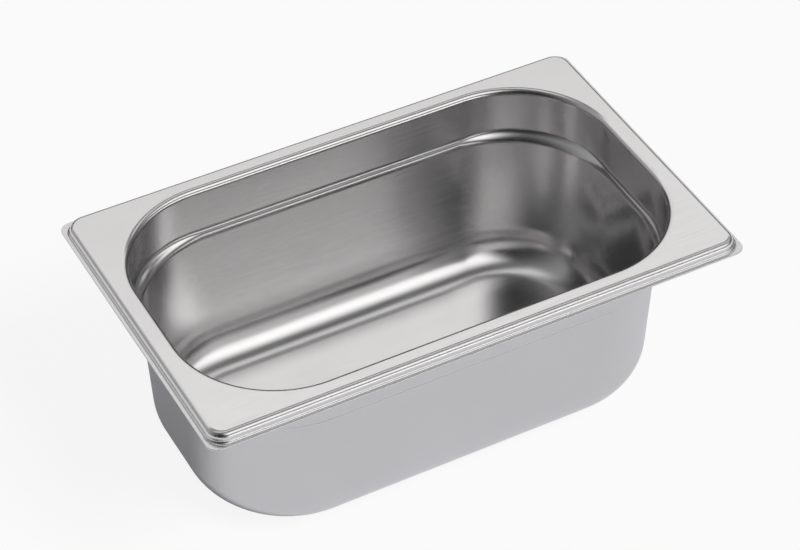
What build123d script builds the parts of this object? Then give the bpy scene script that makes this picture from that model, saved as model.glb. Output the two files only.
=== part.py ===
"""Deli food pan, gastronorm size 1/4, 100 mm deep: one stainless sheet, deep-drawn in a press.

Millimetres. The origin is the centre of the base's underside, +Z is up and +X runs along the long side.
"""
from build123d import *
from math import atan2, cos, degrees, radians, sin, tan
import os

# Overall sizes
LENGTH = 265.0  # over the rim, along X
WIDTH = 162.0  # over the rim, along Y
HEIGHT = 100.0  # base underside to flange top
SHEET = 0.8  # thickness of the drawn sheet

# Rim: the flange turns over a shoulder into a skirt, which ends in a narrow flat lip.
# Insets are measured in from the trimmed edge, and radii are those of the sheet's upper face.
TRIM_CORNER = 5.5  # plan radius of the trimmed edge
RIM_DROP = 4.7  # flange top down to the lip
SKIRT_INSET = 1.9  # trimmed edge to the foot of the skirt
SKIRT_CORNER = 8.7  # plan radius of the skirt at its foot
SKIRT_DRAFT = 10.0  # degrees that the skirt leans in
SHOULDER_RADIUS = 3.0
LIP_BEND_RADIUS = 1.6

# Bowl: upright upper wall, stacking ledge, drafted lower wall, rounded base
WALL_INSET = 12.6
WALL_CORNER = 48.7  # plan radius of the upper wall
MOUTH_RADIUS = 3.0  # roll from the flange into the bowl
LEDGE_DEPTH = 24.2  # flange top down to the upper edge of the ledge
LEDGE_FALL = 2.8  # height of the ledge's slope
LEDGE_STEP = 2.25  # how far the ledge steps in along the sides; it is wider in the corners
LEDGE_TOP_RADIUS = 2.4
LEDGE_FOOT_RADIUS = 3.0
BASE_INSET = 18.4  # where the lower wall would meet the floor without its radius
BASE_CORNER = 48.2  # plan radius there; the lower wall's corners are cones about centres of their own
BASE_RADIUS = 19.2  # roll from the lower wall into the floor


def rounded_outline(inset, corner, level):
    """A rounded rectangle, set in from the trimmed edge, at one level."""
    with BuildSketch(Plane.XY.offset(level)) as outline:
        RectangleRounded(LENGTH - 2 * inset, WIDTH - 2 * inset, corner)
    return outline.sketch


def set_back(inset, level, lean_above, lean_below, gap):
    """Where a corner of the bowl's section goes when both of its faces move back by gap.

    Leans are in radians from upright: 0 for an upright wall and a right angle for the floor.
    """
    middle = (lean_above + lean_below) / 2
    reach = gap / cos((lean_above - lean_below) / 2)
    return inset - reach * cos(middle), level - reach * sin(middle)


def pressed_form(gap):
    """The solid under one face of the sheet: gap 0 is the upper face, gap SHEET the lower one.

    Every face lies gap behind the upper one, so outside bends get tighter and inside bends wider.
    """
    lip_level = HEIGHT - RIM_DROP - gap
    draft = radians(SKIRT_DRAFT)
    skirt_shift = gap / cos(draft) - gap * tan(draft)

    floor_level = SHEET
    ledge_level = HEIGHT - LEDGE_DEPTH
    foot_level = ledge_level - LEDGE_FALL
    foot_inset = WALL_INSET + LEDGE_STEP
    foot_corner = BASE_CORNER + BASE_INSET - foot_inset
    ledge_lean = atan2(LEDGE_STEP, LEDGE_FALL)
    wall_lean = atan2(BASE_INSET - foot_inset, foot_level - floor_level)
    upright, flat = 0.0, radians(90)
    rows = []
    for inset, corner, level, above, below in (
        (WALL_INSET, WALL_CORNER, ledge_level, upright, ledge_lean),
        (foot_inset, foot_corner, foot_level, ledge_lean, wall_lean),
        (BASE_INSET, BASE_CORNER, floor_level, wall_lean, flat),
    ):
        inset_back, level_back = set_back(inset, level, above, below, gap)
        rows.append((inset_back, corner + inset - inset_back, level_back))
    ledge_top, ledge_foot, base = rows

    with BuildPart() as form:
        add(rounded_outline(0, TRIM_CORNER, -HEIGHT))
        extrude(amount=HEIGHT + lip_level)
        add(rounded_outline(SKIRT_INSET + skirt_shift, SKIRT_CORNER - skirt_shift, lip_level))
        extrude(amount=RIM_DROP, taper=SKIRT_DRAFT)
        skirt_foot = form.edges(Select.LAST).group_by(Axis.Z)[0]
        fillet(skirt_foot, LIP_BEND_RADIUS + gap)
        fillet(form.faces().sort_by(Axis.Z)[-1].edges(), SHOULDER_RADIUS - gap)

        add(rounded_outline(*ledge_top))
        extrude(amount=HEIGHT - ledge_top[-1], mode=Mode.SUBTRACT)
        add(rounded_outline(*ledge_top))
        add(rounded_outline(*ledge_foot))
        loft(ruled=True, mode=Mode.SUBTRACT)
        add(rounded_outline(*ledge_foot))
        extrude(amount=base[-1] - ledge_foot[-1], taper=degrees(wall_lean), mode=Mode.SUBTRACT)
        for (_, _, level), radius in (
            (base, BASE_RADIUS + gap),
            (ledge_foot, LEDGE_FOOT_RADIUS - gap),
            (ledge_top, LEDGE_TOP_RADIUS + gap),
        ):
            fillet(form.edges().filter_by_position(Axis.Z, level - 0.01, level + 0.01), radius)
        flange = form.faces().sort_by(Axis.Z)[-1]
        fillet(flange.inner_wires().edges(), MOUTH_RADIUS - gap)
    return form.part


os.makedirs("parts", exist_ok=True)

with BuildPart() as pan:
    add(pressed_form(0))
    add(pressed_form(SHEET), mode=Mode.SUBTRACT)
pan.part.label = "pan"
export_step(pan.part, "parts/pan.step")
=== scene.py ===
"""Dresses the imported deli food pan: the drawn sheet as one smooth surface, its satin stainless finish and a studio.

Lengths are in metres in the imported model's own frame: +Z up, +X along the pan's long side, the base on z = 0.
"""

import math
import bpy
import numpy as np
from bpy.props import FloatProperty, FloatVectorProperty, IntProperty, PointerProperty
from mathutils import Matrix, Vector


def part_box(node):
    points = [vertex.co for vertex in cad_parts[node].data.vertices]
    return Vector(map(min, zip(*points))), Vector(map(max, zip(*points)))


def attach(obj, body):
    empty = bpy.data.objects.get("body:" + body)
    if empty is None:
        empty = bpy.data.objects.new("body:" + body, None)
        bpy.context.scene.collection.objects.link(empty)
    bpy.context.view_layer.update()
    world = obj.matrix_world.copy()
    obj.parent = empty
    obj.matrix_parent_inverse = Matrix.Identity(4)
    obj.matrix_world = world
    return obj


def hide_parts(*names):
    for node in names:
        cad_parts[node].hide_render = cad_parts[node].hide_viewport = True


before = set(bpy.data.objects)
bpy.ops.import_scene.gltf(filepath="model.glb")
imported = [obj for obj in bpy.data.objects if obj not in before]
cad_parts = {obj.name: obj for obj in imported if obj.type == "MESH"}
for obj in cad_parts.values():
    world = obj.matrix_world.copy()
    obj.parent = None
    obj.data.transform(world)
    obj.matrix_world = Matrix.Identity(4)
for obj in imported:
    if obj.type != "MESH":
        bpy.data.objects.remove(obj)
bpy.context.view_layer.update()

bl_info = {
    "name": "Deli food pan",
    "version": (1, 0, 0),
    "blender": (4, 5, 0),
    "location": "3D View > Sidebar > Food pan",
    "description": "Builds a deep-drawn gastronorm food pan, its satin stainless finish and its studio",
    "category": "Add Mesh",
}

PAN_LOW, PAN_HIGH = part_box("pan")
MM = 0.001

# Faces along each bend of the section, and along each half of the rounded cut edge.
TOE_STEPS, BASE_STEPS, LEDGE_STEPS, MOUTH_STEPS, SHOULDER_STEPS, LIP_STEPS, EDGE_STEPS = 5, 22, 8, 14, 14, 10, 4
# How hard the press worked the bowl's corners and the rim, and the insets between which that fades on the floor.
WALL_DRAW, RIM_DRAW = 0.3, 0.5
DRAW_FADE = (30 * MM, 44 * MM)

# Grain cells per grain spacing along X, Y and Z: the lines run along the pan.
GRAIN_CELLS = (0.02, 1.0, 0.25)
# The middle band of the grain's noise, and how far it moves the roughness to either side.
GRAIN_BAND, GRAIN_ROUGHNESS = (0.3, 0.7), 0.03
# Bump strength and height in metres.
BUCKLE_BUMP, GRAIN_BUMP = (0.25, 0.0006), (0.08, 0.00002)

# What metal mirrors along the arch over the pan, as (degrees from the front horizon, level), and its faint warmth.
ARCH = (
    (0, 0.8), (14, 0.6), (20, 0.4), (28, 0.4), (36, 1.0), (44, 1.35), (53, 1.45), (61, 1.25), (66, 0.85),
    (72, 0.3), (76, 0.12), (86, 0.12), (92, 0.7), (98, 0.92), (105, 0.75), (112, 0.25), (120, 0.12), (125, 0.3),
    (128, 0.95), (131, 1.22), (134, 1.04), (138, 0.74), (144, 0.95), (154, 0.85), (162, 0.12), (180, 0.1),
)
ARCH_TINT = (1.0, 0.995, 0.992)
# Each fade is (from, to, level before, level after) on one axis of the direction plus a share of its Y.
SCREEN_EDGE, SCREEN_TILT = (0.4, 0.5, 0.2, 1.0), 0.15
BACKDROP, BACKDROP_TILT = (-0.15, 0.0, 1.5, 0.0), 0.4
LEFT_WALL = (-0.55, 0.45, 0.03, 0.38)
LIT_SIDE, LIT_TILT = (-0.44, -0.1, 0.0, 1.0), 0.3
# Level of the world on matt surfaces.
MATT_LEVEL = 0.3
# White that the camera sees in the floor, and a painted glow that metal sees in it, weak near the pan as painted
# shade and stronger far away: (metres from, to, share before, share after).
CAMERA_WHITE, MIRRORED_PAINTED_GLOW = 0.88, (0.15, 0.5, 0.03, 0.4)
FLOOR_GAP = 0.0001


def linear(code):
    """An sRGB hex colour as linear red, green, blue and alpha."""
    parts = [int(code[i : i + 2], 16) / 255 for i in (1, 3, 5)]
    return (*(p / 12.92 if p <= 0.04045 else ((p + 0.055) / 1.055) ** 2.4 for p in parts), 1.0)


def add_node(tree, kind, settings=None, values=None, links=None):
    """Adds one node: settings are attributes, values are for sockets, and links are the outputs that feed sockets."""
    node = tree.nodes.new(kind)
    for name, value in (settings or {}).items():
        setattr(node, name, value)
    for socket, value in (values or {}).items():
        node.inputs[socket].default_value = value
    for socket, output in (links or {}).items():
        tree.links.new(output, node.inputs[socket])
    return node


# ---------------------------------------------------------------- sizes


def length(name, description, millimetres):
    return FloatProperty(
        name=name, description=description, default=millimetres * MM, min=0.0, unit="LENGTH", precision=5
    )


class PanSizes(bpy.types.PropertyGroup):
    sheet: length("Sheet", "Thickness of the drawn sheet", 0.8)
    trim_corner: length("Trim corner", "Plan radius of the trimmed edge", 5.5)
    rim_drop: length("Rim drop", "Flange top down to the lip", 4.7)
    skirt_inset: length("Skirt inset", "Trimmed edge to the foot of the skirt", 1.9)
    skirt_corner: length("Skirt corner", "Plan radius of the skirt at its foot", 8.7)
    skirt_draft: FloatProperty(
        name="Skirt draft", description="How far the skirt leans in", default=math.radians(10), subtype="ANGLE"
    )
    shoulder: length("Shoulder", "Bend from the flange into the skirt", 3.0)
    lip_bend: length("Lip bend", "Bend from the skirt into the lip", 1.6)
    edge: length("Edge", "Rounding that trimming and polishing leave on the cut edge", 0.22)
    wall_inset: length("Wall inset", "Trimmed edge to the upper wall", 12.6)
    wall_corner: length("Wall corner", "Plan radius of the upper wall", 48.7)
    mouth: length("Mouth", "Roll from the flange into the bowl", 3.0)
    ledge_depth: length("Ledge depth", "Flange top down to the ledge", 24.2)
    ledge_fall: length("Ledge fall", "Height of the ledge's slope", 2.8)
    ledge_step: length("Ledge step", "How far the ledge steps in", 2.25)
    ledge_top: length("Ledge top", "Bend above the ledge's slope", 4.0)
    ledge_foot: length("Ledge foot", "Bend below the ledge's slope", 5.6)
    base_inset: length("Base inset", "Trimmed edge to the wall's foot", 18.4)
    base_corner: length("Base corner", "Plan radius at the wall's foot", 48.2)
    base_roll: length("Base roll", "Roll from the wall into the floor", 20.8)
    toe: length("Toe", "Slack bend that eases the base roll into the flat floor", 70.0)
    toe_rise: FloatProperty(
        name="Toe rise", description="How steep the slack bend is where the base roll begins",
        default=math.radians(7.5), subtype="ANGLE",
    )
    corner_steps: IntProperty(
        name="Corner steps", description="Faces round each corner", default=44, min=4, max=96
    )
    side_steps: IntProperty(name="Side steps", description="Faces along each side", default=10, min=1, max=64)


class SteelFinish(bpy.types.PropertyGroup):
    colour: FloatVectorProperty(
        name="Steel", description="Colour of the polished sheet", subtype="COLOR", size=4,
        default=linear("#E4E3E3"), min=0, max=1,
    )
    dull: FloatVectorProperty(
        name="Dull steel", description="Colour where the draw left the sheet duller", subtype="COLOR", size=4,
        default=linear("#DEDDDD"), min=0, max=1,
    )
    roughness: FloatProperty(name="Roughness", description="Mean roughness of the satin", default=0.2, min=0, max=1)
    draw_dulling: FloatProperty(
        name="Draw dulling", description="Roughness that drawing adds where it worked hardest",
        default=0.1, min=0, max=1,
    )
    grain: length("Grain", "Spacing of the rolled sheet's grain lines", 0.5)
    buckle: length("Buckle", "Size of the faint buckles that drawing leaves in the sheet", 38.0)


class Studio(bpy.types.PropertyGroup):
    lens: FloatProperty(name="Lens", description="Focal length of the camera", default=125.74, unit="CAMERA")
    azimuth: FloatProperty(
        name="Azimuth", description="Camera's turn about +Z from looking along +Y",
        default=math.radians(-27.88), subtype="ANGLE",
    )
    elevation: FloatProperty(
        name="Elevation", description="Camera's height above the horizon",
        default=math.radians(42.37), subtype="ANGLE",
    )
    roll: FloatProperty(
        name="Roll", description="Camera's turn about its own axis", default=math.radians(-0.45), subtype="ANGLE"
    )
    distance: FloatProperty(
        name="Distance", description="Camera to the point it looks at", default=1.29, unit="LENGTH"
    )
    target: FloatVectorProperty(
        name="Target", description="Point that the camera looks at",
        default=(0.00626, 0.01255, 0.06), unit="LENGTH",
    )
    key: FloatProperty(name="Key lamp", description="Strength of the key lamp on the floor", default=1.85)
    key_size: FloatProperty(
        name="Key size", description="Angle that the key lamp fills", default=math.radians(25), subtype="ANGLE"
    )
    key_azimuth: FloatProperty(
        name="Key azimuth", description="Key lamp's turn from the front towards +X",
        default=math.radians(35), subtype="ANGLE",
    )
    key_elevation: FloatProperty(
        name="Key elevation", description="Key lamp's height", default=math.radians(48), subtype="ANGLE"
    )
    floor_colour: FloatVectorProperty(
        name="Floor", description="Colour of the studio floor", subtype="COLOR", size=4,
        default=linear("#EEEEF2"), min=0, max=1,
    )
    floor_side: FloatProperty(
        name="Floor side", description="Length of the floor's side", default=60.0, unit="LENGTH"
    )


# ---------------------------------------------------------------- the pressed sheet


def bend(rows, inset, level, lean_in, lean_out, radius, steps):
    """Appends one round bend to rows of (inset, level, lean).

    The bend is a circular arc between two straight runs that would meet at (inset, level). The lean is the run's
    turn from upright: 0 climbs a wall, a right angle runs outwards over a flat, and more goes down again.
    """
    lean = np.linspace(lean_in, lean_out, steps + 1)
    reach = radius * math.tan(abs(lean_out - lean_in) / 2)
    turn = math.copysign(radius, lean_out - lean_in)
    rows.append(np.column_stack((
        inset + reach * math.sin(lean_in) + turn * (np.cos(lean) - math.cos(lean_in)),
        level - reach * math.cos(lean_in) + turn * (np.sin(lean) - math.sin(lean_in)),
        lean,
    )))


def pan_section(s, height):
    """The closed section of the sheet as arrays inset, level, lean and centre.

    The upper face runs from the floor's edge out to the trimmed edge as arcs and straight runs. The lower face is
    the same line moved back by the sheet's thickness along its normal, and returns to the base. Inset is measured in
    from the trimmed edge, and centre is the inset of the plan corner's centre, so a corner's radius is centre minus
    inset.
    """
    flat, skirt = math.pi / 2, math.pi - s.skirt_draft
    ledge_level = height - s.ledge_depth
    foot_level = ledge_level - s.ledge_fall
    foot_inset = s.wall_inset + s.ledge_step
    ledge_lean = math.atan2(s.ledge_step, s.ledge_fall)
    wall_lean = math.atan2(s.base_inset - foot_inset, foot_level - s.sheet)
    lip_level = height - s.rim_drop

    toe_lean = flat - s.toe_rise
    toe_reach = s.toe * math.tan(s.toe_rise / 2)
    reach = toe_reach + s.base_roll * math.tan((toe_lean - wall_lean) / 2)
    heel_level = s.sheet + reach * math.sin(s.toe_rise)
    heel_inset = s.base_inset - (heel_level - s.sheet) * math.tan(wall_lean)

    rows = []
    bend(rows, heel_inset + reach * math.cos(s.toe_rise), s.sheet, flat, toe_lean, s.toe, TOE_STEPS)
    bend(rows, heel_inset, heel_level, toe_lean, wall_lean, s.base_roll, BASE_STEPS)
    rows[1] = rows[1][1:]  # the two bends share a row
    bend(rows, foot_inset, foot_level, wall_lean, ledge_lean, s.ledge_foot, LEDGE_STEPS)
    bend(rows, s.wall_inset, ledge_level, ledge_lean, 0.0, s.ledge_top, LEDGE_STEPS)
    bend(rows, s.wall_inset, height, 0.0, flat, s.mouth, MOUTH_STEPS)
    shoulder_inset = s.skirt_inset + s.rim_drop * math.tan(s.skirt_draft)
    bend(rows, shoulder_inset, height, flat, skirt, s.shoulder, SHOULDER_STEPS)
    bend(rows, s.skirt_inset, lip_level, skirt, flat, s.lip_bend, LIP_STEPS)
    rows.append(np.array([[s.edge, lip_level, flat]]))
    inset, level, lean = np.concatenate(rows).T

    # The corners' centre moves from the lower wall's to the upper wall's across the ledge. It is the rim's from the
    # shoulder on, and the trimmed edge's at the end.
    lower, upper = s.base_inset + s.base_corner, s.wall_inset + s.wall_corner
    rim = s.skirt_inset + s.skirt_corner
    ledge_foot, ledge_top, shoulder = rows[2], rows[3], 5
    bottom, top = ledge_foot[0, 1], ledge_top[-1, 1]
    rise = np.clip((level - bottom) / (top - bottom), 0, 1)
    centre = lower + (upper - lower) * rise**2 * (3 - 2 * rise)
    centre[sum(map(len, rows[:shoulder])) :] = rim
    centre[-1] = s.trim_corner

    turn = np.linspace(0, flat, EDGE_STEPS + 1)
    edge_inset = s.edge * (1 - np.sin(turn[1:]))
    fall = s.edge * (1 - np.cos(turn[1:]))
    edge = (
        np.concatenate((edge_inset, edge_inset[::-1], [s.edge])),
        np.concatenate((lip_level - fall, (lip_level - s.sheet + fall)[::-1], [lip_level - s.sheet])),
        np.concatenate((flat + turn[1:], flat + turn[1:] + flat - turn[1], [math.pi * 1.5])),
    )
    back = slice(-2, None, -1)
    return (
        np.concatenate((inset, edge[0], (inset - s.sheet * np.cos(lean))[back])),
        np.concatenate((level, edge[1], (level - s.sheet * np.sin(lean))[back])),
        np.concatenate((lean, edge[2], (lean + math.pi)[back])),
        np.concatenate((centre, np.full(len(edge[0]), s.trim_corner), centre[back])),
    )


def corner_walk(corner_steps, side_steps):
    """One turn round a rounded rectangle as arrays across, along, angle and bow.

    Across and along say how far, from -1 to 1, the point's arc centre lies towards the ends and the sides. They stay
    on a corner while the angle turns by a right angle, and then cross to the next corner while the angle stays.
    Bow is 0 on the sides and the sine of twice the turn on a corner, so it is 1 at the corner's middle.
    """
    turn = np.linspace(0, math.pi / 2, corner_steps + 1)
    share = np.linspace(0, 1, side_steps + 1)[1:-1]
    across, along, angle, bow = [], [], [], []
    for corner, (x, y) in enumerate(((1, 1), (-1, 1), (-1, -1), (1, -1))):
        end = ((-1, 1), (-1, -1), (1, -1), (1, 1))[corner]
        across += [np.full(len(turn), x), x + (end[0] - x) * share]
        along += [np.full(len(turn), y), y + (end[1] - y) * share]
        angle += [turn + corner * math.pi / 2, np.full(len(share), (corner + 1) * math.pi / 2)]
        bow += [np.sin(2 * turn), np.zeros(len(share))]
    return tuple(np.concatenate(part).astype(float) for part in (across, along, angle, bow))


def sheet_surface(s, low, high):
    """Points, normals, faces and draw of the sheet: its section carried round a rounded rectangle.

    A point is its corner's centre plus the corner's radius along the plan angle. The normal lies in the plane of the
    plan angle and +Z, at a right angle to the section's own slope there. Draw says how hard the press worked the
    sheet: a level of its own on the rim, a share of the corner's bow on the walls and the base roll, and 0 on the
    flange and the floor.
    """
    inset, level, lean, centre = (part[:, None] for part in pan_section(s, high.z - low.z))
    across, along, angle, bow = (part[None, :] for part in corner_walk(s.corner_steps, s.side_steps))
    half_x, half_y = (high.x - low.x) / 2, (high.y - low.y) / 2
    radius = centre - inset
    cos, sin = np.cos(angle), np.sin(angle)
    points = np.stack((
        across * (half_x - centre) + radius * cos + (low.x + high.x) / 2,
        along * (half_y - centre) + radius * sin + (low.y + high.y) / 2,
        low.z + level + 0 * angle,
    ), axis=-1)

    run = np.concatenate(([0], np.cumsum(np.hypot(np.diff(inset[:, 0]), np.diff(level[:, 0])))))
    drift = np.gradient(centre[:, 0], run)[:, None]
    outwards = drift * (1 - across * cos - along * sin) + np.sin(lean)
    normals = np.stack((-np.cos(lean) * cos, -np.cos(lean) * sin, outwards), axis=-1)
    normals /= np.linalg.norm(normals, axis=-1, keepdims=True)

    walls = np.interp(inset, (s.wall_inset - s.mouth, s.wall_inset, *DRAW_FADE), (0, 1, 1, 0))
    rim = np.interp(inset, (s.skirt_inset + 2 * s.shoulder / 3, s.skirt_inset + s.shoulder), (1, 0))
    draw = np.maximum(WALL_DRAW * walls * bow, RIM_DRAW * rim)

    rings, steps = points.shape[:2]
    index = np.arange(rings * steps).reshape(rings, steps)
    here, there = index, np.roll(index, -1, axis=1)
    faces = np.stack((here[:-1], here[1:], there[1:], there[:-1]), axis=-1).reshape(-1, 4)
    caps = [index[0].tolist(), index[-1, ::-1].tolist()]
    return points.reshape(-1, 3), normals.reshape(-1, 3), faces.tolist() + caps, draw.ravel()


def make_piece(name, points, normals, faces, draw, material):
    """A mesh object at the origin with its own smooth normals, and the draw as an attribute."""
    mesh = bpy.data.meshes.new(name)
    mesh.from_pydata(points.tolist(), [], faces)
    mesh.update()
    mesh.shade_smooth()
    mesh.normals_split_custom_set_from_vertices(normals.tolist())
    mesh.attributes.new("draw", "FLOAT", "POINT").data.foreach_set("value", draw.astype(np.float32))
    mesh.materials.append(material)
    piece = bpy.data.objects.new(name, mesh)
    bpy.context.scene.collection.objects.link(piece)
    return piece


# ---------------------------------------------------------------- finish


def satin_stainless(f):
    """18/10 stainless sheet, cold rolled, deep-drawn and satin finished.

    The eye sees a pale neutral metal that mirrors its surroundings softly. The rolled grain runs along the pan and
    breaks reflections into faint lines, slow buckles bend them, and the bowl's corners and the rim, which the press
    worked hardest, are a little duller. The grain is wider than real grain, so that it can be seen.
    """
    material = bpy.data.materials.new("Satin drawn stainless")
    material.use_nodes = True
    tree = material.node_tree
    tree.nodes.clear()
    place = add_node(tree, "ShaderNodeTexCoord")
    grain_scale = add_node(
        tree, "ShaderNodeMapping", {"vector_type": "POINT"},
        {"Scale": tuple(cells / f.grain for cells in GRAIN_CELLS)}, {"Vector": place.outputs["Object"]},
    )
    grain = add_node(
        tree, "ShaderNodeTexNoise", {}, {"Scale": 1.0, "Detail": 2.0, "Roughness": 0.6},
        {"Vector": grain_scale.outputs["Vector"]},
    )
    cloud = add_node(
        tree, "ShaderNodeTexNoise", {}, {"Scale": 1 / f.buckle, "Detail": 2.0, "Roughness": 0.5},
        {"Vector": place.outputs["Object"]},
    )
    rough = add_node(
        tree, "ShaderNodeMapRange", {},
        {
            "From Min": GRAIN_BAND[0], "From Max": GRAIN_BAND[1],
            "To Min": f.roughness - GRAIN_ROUGHNESS, "To Max": f.roughness + GRAIN_ROUGHNESS,
        },
        {"Value": grain.outputs["Fac"]},
    )
    draw = add_node(tree, "ShaderNodeAttribute", {"attribute_name": "draw"})
    duller = add_node(
        tree, "ShaderNodeMath", {"operation": "MULTIPLY_ADD"}, {1: f.draw_dulling},
        {0: draw.outputs["Fac"], 2: rough.outputs["Result"]},
    )
    tone = add_node(
        tree, "ShaderNodeMix", {"data_type": "RGBA"}, {"A": tuple(f.colour), "B": tuple(f.dull)},
        {"Factor": cloud.outputs["Fac"]},
    )
    slow = add_node(
        tree, "ShaderNodeBump", {}, dict(zip(("Strength", "Distance"), BUCKLE_BUMP)),
        {"Height": cloud.outputs["Fac"]},
    )
    fine = add_node(
        tree, "ShaderNodeBump", {}, dict(zip(("Strength", "Distance"), GRAIN_BUMP)),
        {"Height": grain.outputs["Fac"], "Normal": slow.outputs["Normal"]},
    )
    shader = add_node(
        tree, "ShaderNodeBsdfPrincipled", {}, {"Metallic": 1.0},
        {
            "Base Color": tone.outputs["Result"],
            "Roughness": duller.outputs["Value"],
            "Normal": fine.outputs["Normal"],
        },
    )
    add_node(tree, "ShaderNodeOutputMaterial", {}, {}, {"Surface": shader.outputs["BSDF"]})
    return material


class FOODPAN_OT_pressed_sheet(bpy.types.Operator):
    """Build the pan's drawn sheet, from its floor to its trimmed rim, and give it its satin finish"""

    bl_idname = "foodpan.pressed_sheet"
    bl_label = "Pressed sheet"

    def execute(self, context):
        settings = context.scene.food_pan_sizes
        points, normals, faces, draw = sheet_surface(settings, PAN_LOW, PAN_HIGH)
        material = satin_stainless(context.scene.food_pan_finish)
        piece = make_piece("drawn_sheet", points, normals, faces, draw, material)
        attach(piece, "root")
        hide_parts("pan")
        return {"FINISHED"}


# ---------------------------------------------------------------- studio


def mirrored_rays(tree, ray):
    """1 for a ray that metal or glass sends on, 0 for any other."""
    return add_node(
        tree, "ShaderNodeMath", {"operation": "MAXIMUM"}, {},
        {0: ray.outputs["Is Glossy Ray"], 1: ray.outputs["Is Transmission Ray"]},
    ).outputs["Value"]


def fade(tree, value, limits, kind):
    """A change between two levels, where limits are (from, to, level before, level after)."""
    return add_node(
        tree, "ShaderNodeMapRange", {"interpolation_type": kind},
        dict(zip(("From Min", "From Max", "To Min", "To Max"), limits)), {"Value": value},
    ).outputs["Result"]


def studio_floor(colour):
    """White painted floor with the soft shadow that the object casts on it.

    The camera sees it nearly as even white. Metal sees a painted glow in it that grows with the distance from the
    pan, so the floor round the pan shows painted shade in the metal's reflections.
    """
    material = bpy.data.materials.new("White studio floor")
    material.use_nodes = True
    tree = material.node_tree
    tree.nodes.clear()
    ray = add_node(tree, "ShaderNodeLightPath")
    place = add_node(tree, "ShaderNodeTexCoord")
    away = add_node(tree, "ShaderNodeVectorMath", {"operation": "LENGTH"}, {}, {"Vector": place.outputs["Object"]})
    # Painted glow for metal and glass: emission that grows with the distance from the pan, so that the floor near the
    # pan shows painted shade in reflections.
    faint = add_node(
        tree, "ShaderNodeMath", {"operation": "MULTIPLY"}, {},
        {0: mirrored_rays(tree, ray), 1: fade(tree, away.outputs["Value"], MIRRORED_PAINTED_GLOW, "LINEAR")},
    )
    white_and_painted_glow = add_node(
        tree, "ShaderNodeMath", {"operation": "MULTIPLY_ADD"}, {1: CAMERA_WHITE},
        {0: ray.outputs["Is Camera Ray"], 2: faint.outputs["Value"]},
    )
    paint = add_node(tree, "ShaderNodeBsdfDiffuse", {}, {"Color": tuple(colour)})
    white = add_node(tree, "ShaderNodeEmission", {}, {"Color": (1, 1, 1, 1), "Strength": 1.0})
    mix = add_node(
        tree, "ShaderNodeMixShader", {}, {},
        {0: white_and_painted_glow.outputs["Value"], 1: paint.outputs["BSDF"], 2: white.outputs["Emission"]},
    )
    add_node(tree, "ShaderNodeOutputMaterial", {}, {}, {"Surface": mix.outputs["Shader"]})
    material.cycles.emission_sampling = "NONE"
    return material


def mirrored_arch(tree, parts):
    """The bands that metal mirrors, by the angle over the top: 0 at the front horizon (-Y), 1 at the back one."""
    front = add_node(tree, "ShaderNodeMath", {"operation": "MULTIPLY"}, {1: -1.0}, {0: parts.outputs["Y"]})
    over = add_node(
        tree, "ShaderNodeMath", {"operation": "ARCTAN2"}, {}, {0: parts.outputs["Z"], 1: front.outputs["Value"]}
    )
    half_turn = add_node(
        tree, "ShaderNodeMath", {"operation": "DIVIDE"}, {1: math.pi}, {0: over.outputs["Value"]}
    )
    arch = add_node(tree, "ShaderNodeValToRGB", {}, {}, {"Fac": half_turn.outputs["Value"]})
    ramp = arch.color_ramp
    ramp.interpolation = "EASE"
    ramp.elements.remove(ramp.elements[1])
    for number, (degrees, level) in enumerate(ARCH):
        stop = ramp.elements[0] if number == 0 else ramp.elements.new(degrees / 180)
        stop.position = degrees / 180
        stop.color = (*(level * tint for tint in ARCH_TINT), 1)
    return arch.outputs["Color"]


def soft_dome(world):
    """The studio round the pan.

    Only metal and glass see it: a screen high in front, a strip overhead and a panel behind, with dark gaps between,
    a backdrop low in front and a dim wall on the left. The camera sees plain white, and matt surfaces a low even
    light.
    """
    world.use_nodes = True
    tree = world.node_tree
    tree.nodes.clear()
    way = add_node(tree, "ShaderNodeTexCoord")
    parts = add_node(tree, "ShaderNodeSeparateXYZ", {}, {}, {"Vector": way.outputs["Generated"]})

    def tilted(axis, tilt, limits):
        slope = add_node(
            tree, "ShaderNodeMath", {"operation": "MULTIPLY_ADD"}, {1: tilt},
            {0: parts.outputs["Y"], 2: parts.outputs[axis]},
        )
        return fade(tree, slope.outputs["Value"], limits, "SMOOTHSTEP")

    # The screen and the panels end at a low edge that is a little lower behind.
    screens = add_node(
        tree, "ShaderNodeVectorMath", {"operation": "SCALE"}, {},
        {"Vector": mirrored_arch(tree, parts), "Scale": tilted("Z", SCREEN_TILT, SCREEN_EDGE)},
    )
    panels = add_node(
        tree, "ShaderNodeVectorMath", {"operation": "ADD"}, {},
        {0: screens.outputs["Vector"], 1: tilted("Z", BACKDROP_TILT, BACKDROP)},
    )
    # The left wall fades into the dark towards the front.
    shade = add_node(
        tree, "ShaderNodeMix", {"data_type": "RGBA"}, {},
        {
            "Factor": tilted("X", LIT_TILT, LIT_SIDE),
            "A": fade(tree, parts.outputs["Y"], LEFT_WALL, "SMOOTHSTEP"),
            "B": panels.outputs["Vector"],
        },
    )
    ray = add_node(tree, "ShaderNodeLightPath")
    room = add_node(
        tree, "ShaderNodeMix", {"data_type": "RGBA"}, {"A": (1, 1, 1, 1)},
        {"Factor": mirrored_rays(tree, ray), "B": shade.outputs["Result"]},
    )
    strength = add_node(
        tree, "ShaderNodeMath", {"operation": "MULTIPLY_ADD"}, {1: MATT_LEVEL - 1, 2: 1.0},
        {0: ray.outputs["Is Diffuse Ray"]},
    )
    light = add_node(
        tree, "ShaderNodeBackground", {}, {},
        {"Color": room.outputs["Result"], "Strength": strength.outputs["Value"]},
    )
    add_node(tree, "ShaderNodeOutputWorld", {}, {}, {"Surface": light.outputs["Background"]})
    world.cycles.sampling_method = "NONE"


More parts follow.
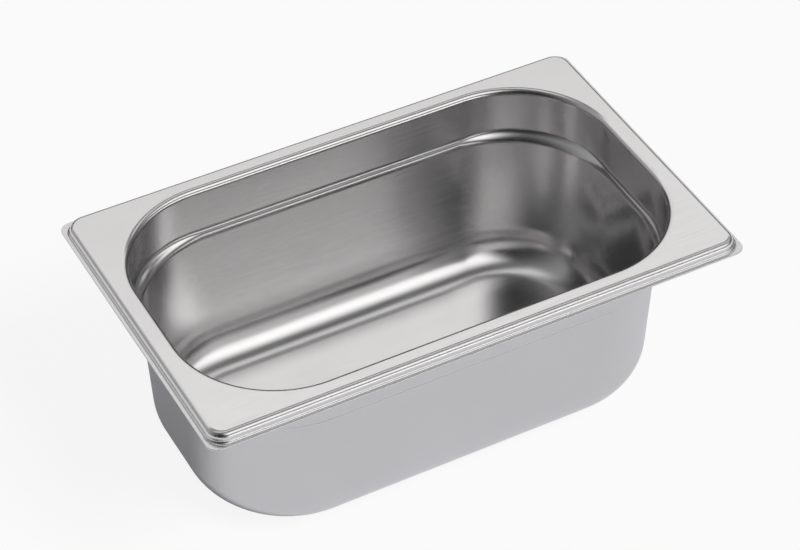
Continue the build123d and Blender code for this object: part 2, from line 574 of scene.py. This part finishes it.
class FOODPAN_OT_studio(bpy.types.Operator):
    """Lay the floor, light the studio and aim the camera"""

    bl_idname = "foodpan.studio"
    bl_label = "Studio"

    def execute(self, context):
        scene = context.scene
        s = scene.food_pan_studio
        half = s.floor_side / 2
        mesh = bpy.data.meshes.new("studio_floor")
        corners = [(-half, -half, 0), (half, -half, 0), (half, half, 0), (-half, half, 0)]
        mesh.from_pydata(corners, [], [(0, 1, 2, 3)])
        mesh.transform(Matrix.Translation((0, 0, PAN_LOW.z - FLOOR_GAP)))
        mesh.materials.append(studio_floor(s.floor_colour))
        floor = bpy.data.objects.new("studio_floor", mesh)
        scene.collection.objects.link(floor)

        world = bpy.data.worlds.new("Studio dome")
        scene.world = world
        soft_dome(world)

        lamp = bpy.data.lights.new("key_lamp", "SUN")
        lamp.energy, lamp.angle = s.key, s.key_size
        key = bpy.data.objects.new("key_lamp", lamp)
        a, e = s.key_azimuth, s.key_elevation
        towards = Vector((math.sin(a) * math.cos(e), -math.cos(a) * math.cos(e), math.sin(e)))
        key.matrix_world = towards.to_track_quat("Z", "Y").to_matrix().to_4x4()
        key.visible_glossy = False  # it lights the floor and makes the shadow, and metal doesn't mirror it
        scene.collection.objects.link(key)

        a, e, r = s.azimuth, s.elevation, s.roll
        back = Vector((math.sin(a) * math.cos(e), -math.cos(a) * math.cos(e), math.sin(e)))
        level = Vector((math.cos(a), math.sin(a), 0))
        upright = back.cross(level)
        right = level * math.cos(r) + upright * math.sin(r)
        up = upright * math.cos(r) - level * math.sin(r)
        camera = bpy.data.objects.new("studio_camera", bpy.data.cameras.new("studio_camera"))
        camera.data.sensor_width = 36
        camera.data.lens = s.lens
        camera.data.clip_start, camera.data.clip_end = 0.05, 200
        turn = Matrix((right, up, back)).transposed().to_4x4()
        camera.matrix_world = Matrix.Translation(Vector(s.target) + back * s.distance) @ turn
        scene.collection.objects.link(camera)
        scene.camera = camera
        scene.view_settings.view_transform = "Standard"
        return {"FINISHED"}


class FOODPAN_PT_panel(bpy.types.Panel):
    """Sizes, finish and studio of the food pan"""

    bl_label = "Food pan"
    bl_idname = "FOODPAN_PT_panel"
    bl_space_type = "VIEW_3D"
    bl_region_type = "UI"
    bl_category = "Food pan"

    def draw(self, context):
        layout = self.layout
        scene = context.scene
        for group, operator in (
            (scene.food_pan_sizes, "foodpan.pressed_sheet"),
            (scene.food_pan_finish, None),
            (scene.food_pan_studio, "foodpan.studio"),
        ):
            box = layout.box()
            for name in group.__annotations__:
                box.prop(group, name)
            if operator:
                box.operator(operator)


CLASSES = (PanSizes, SteelFinish, Studio, FOODPAN_OT_pressed_sheet, FOODPAN_OT_studio, FOODPAN_PT_panel)
GROUPS = {"food_pan_sizes": PanSizes, "food_pan_finish": SteelFinish, "food_pan_studio": Studio}


def register():
    for cls in CLASSES:
        bpy.utils.register_class(cls)
    for name, group in GROUPS.items():
        setattr(bpy.types.Scene, name, PointerProperty(type=group))


def unregister():
    for name in GROUPS:
        delattr(bpy.types.Scene, name)
    for cls in reversed(CLASSES):
        bpy.utils.unregister_class(cls)


def main():
    register()
    bpy.ops.foodpan.pressed_sheet()
    bpy.ops.foodpan.studio()


if __name__ == "__main__":
    main()
